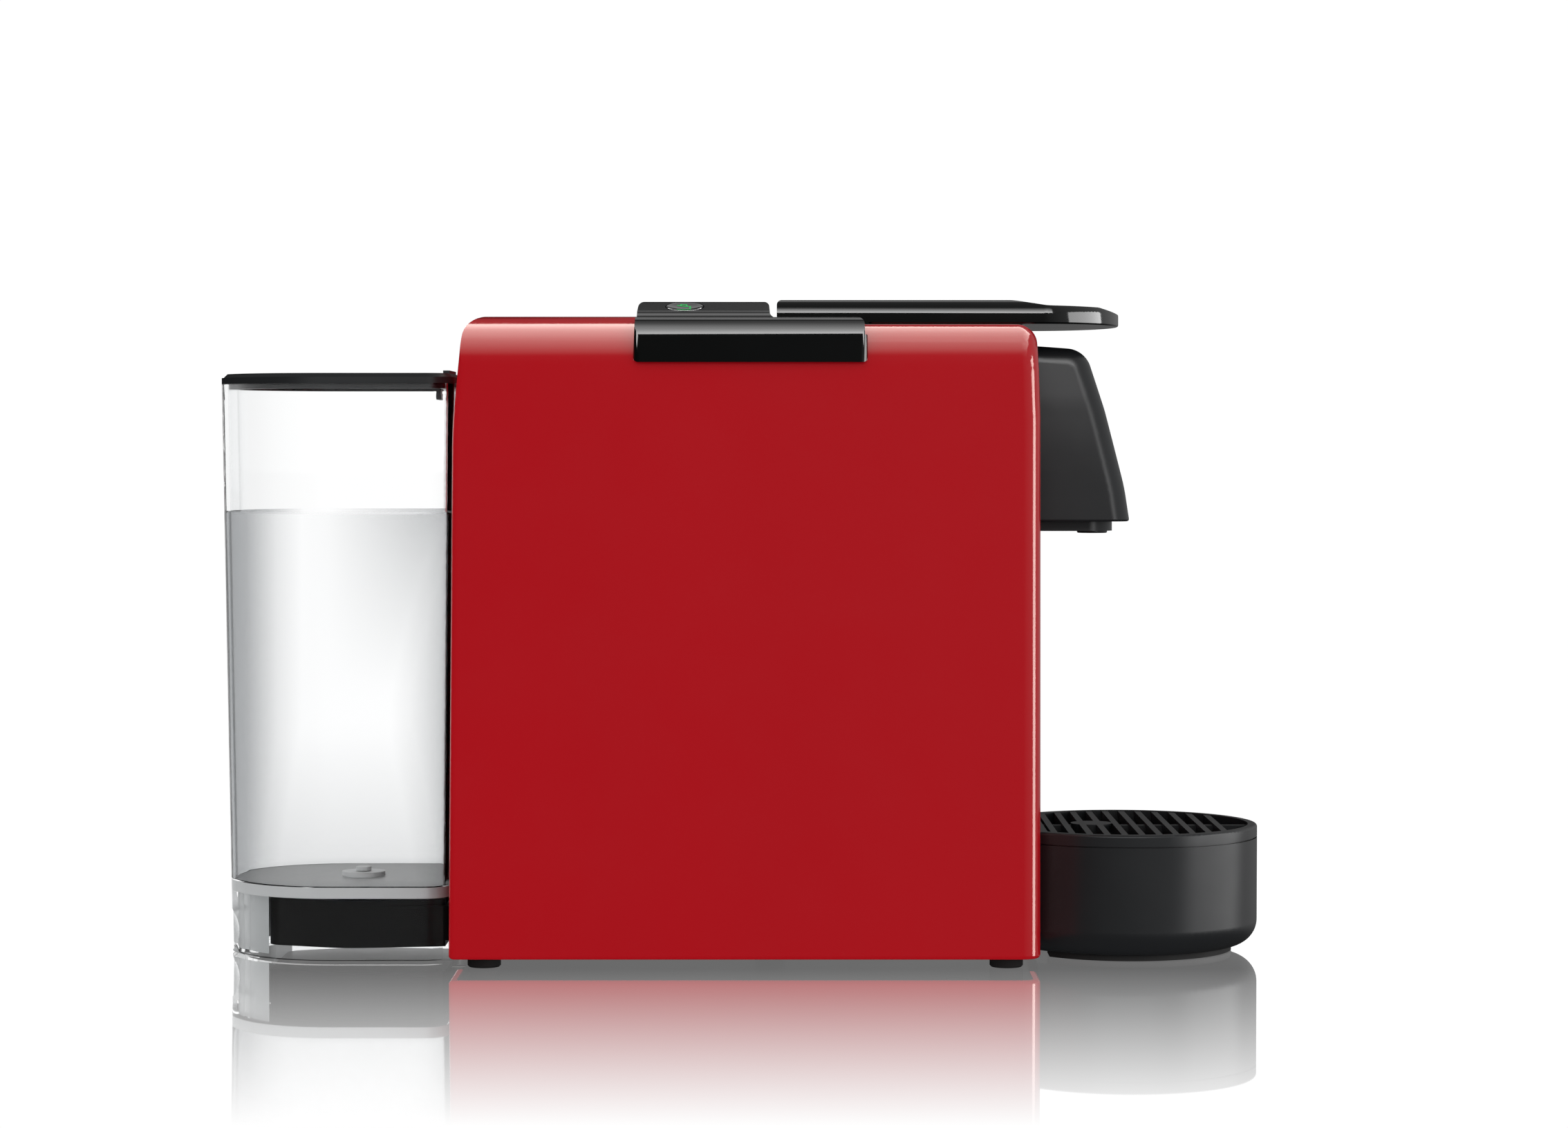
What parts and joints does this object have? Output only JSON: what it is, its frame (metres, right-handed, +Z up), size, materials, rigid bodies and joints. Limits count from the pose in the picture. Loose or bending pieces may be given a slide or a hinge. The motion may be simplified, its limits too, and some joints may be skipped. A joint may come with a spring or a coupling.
{
  "type": "capsule espresso machine",
  "caption": "Compact capsule espresso machine: rounded body, top lever, clear rear water tank and round drip tray under a coffee outlet.",
  "frame": {"origin": "centre of the machine's footprint on the table, under the middle of its overall length and width", "axes": "+X to the front (drip tray and coffee outlet), +Y across to the side of the lungo button, +Z up"},
  "size_m": [0.3249, 0.11, 0.2031],
  "materials": {
    "red_plastic": "high-gloss red injection moulding",
    "gloss_black": "high-gloss black",
    "black_plastic": "satin-gloss black",
    "dark_plastic": "moulded matte black",
    "part_plastic": "moulded electronic housings",
    "white_plastic": "moulded natural white",
    "board_green": "solder-masked laminate",
    "zinc_steel": "zinc plated",
    "steel": "stainless, satin",
    "brass": "turned",
    "cast_aluminium": "as cast",
    "soft_rubber": "matte",
    "hose_silicone": "translucent silicone",
    "clear_plastic": "clear polished, see-through"
  },
  "bodies": {
    "machine_body": {"outer_shell": "red_plastic", "base_plate": "black_plastic", "base_screws": "zinc_steel", "feet": "soft_rubber", "chassis": "dark_plastic", "saddle": "gloss_black", "control_board": "board_green", "button_switches": "black_plastic", "power_board": "board_green", "power_board_parts": "part_plastic", "brew_frame": "black_plastic", "injection_gland": "brass", "brew_plate": "steel", "outlet_cover": "black_plastic", "coffee_spout": "black_plastic", "nozzle": "black_plastic", "tank_dock": "black_plastic", "dock_inlet": "brass", "dock_seal": "soft_rubber", "inlet_hose": "hose_silicone", "flow_meter": "white_plastic", "suction_hose": "hose_silicone", "pump_body": "white_plastic", "pump_coil": "zinc_steel", "pump_mounts": "soft_rubber", "safety_valve": "brass", "pressure_hose": "hose_silicone", "thermoblock": "cast_aluminium", "thermostats": "zinc_steel", "cable_gland": "soft_rubber"},
    "lever": {"lever_cover": "gloss_black", "lever_cam_plates": "dark_plastic", "pivot_pins": "steel"},
    "carriage": {"brew_carriage": "dark_plastic", "carriage_pins": "steel", "injection_tube": "steel", "piercing_blades": "steel"},
    "espresso_key": {"espresso_button": "gloss_black"},
    "lungo_key": {"lungo_button": "gloss_black"},
    "tank": {"water_tank": "clear_plastic", "tank_valve": "black_plastic"},
    "lid": {"tank_lid": "black_plastic"},
    "plunger": {"valve_plunger": "soft_rubber"},
    "drip_module": {"capsule_container": "black_plastic", "drip_base": "black_plastic", "tray_foot_ring": "soft_rubber"},
    "grid": {"drip_grid": "black_plastic"}
  },
  "joints": [
    {"name": "lever_lift", "type": "hinge", "parent": "machine_body", "child": "lever", "pos_m": [0.034, 0, 0.1935], "axis": [0, -1, 0], "range_deg": [0, 90]},
    {"name": "carriage_slide", "type": "slide", "parent": "machine_body", "child": "carriage", "axis": [-1, 0, 0], "range_m": [0, 0.0281]},
    {"name": "espresso_press", "type": "slide", "parent": "machine_body", "child": "espresso_key", "axis": [0, 0, -1], "range_m": [0, 0.0012], "stiffness_N_per_m": 800},
    {"name": "lungo_press", "type": "slide", "parent": "machine_body", "child": "lungo_key", "axis": [0, 0, -1], "range_m": [0, 0.0012], "stiffness_N_per_m": 800},
    {"name": "tank_lift", "type": "slide", "parent": "machine_body", "child": "tank", "axis": [0, 0, 1], "range_m": [0, 0.06]},
    {"name": "lid_hinge", "type": "hinge", "parent": "tank", "child": "lid", "pos_m": [-0.088, 0, 0.1799], "axis": [0, 1, 0], "range_deg": [0, 88]},
    {"name": "valve_slide", "type": "slide", "parent": "tank", "child": "plunger", "axis": [0, 0, 1], "range_m": [0, 0.002], "stiffness_N_per_m": 200},
    {"name": "module_slide", "type": "slide", "parent": "machine_body", "child": "drip_module", "axis": [1, 0, 0], "range_m": [0, 0.12]},
    {"name": "grid_lift", "type": "slide", "parent": "drip_module", "child": "grid", "axis": [0, 0, 1], "range_m": [0, 0.03]}
  ],
  "couplings": [
    {"joint": "carriage_slide", "follows": "lever_lift", "m_per_rad": 0.017825}
  ]
}
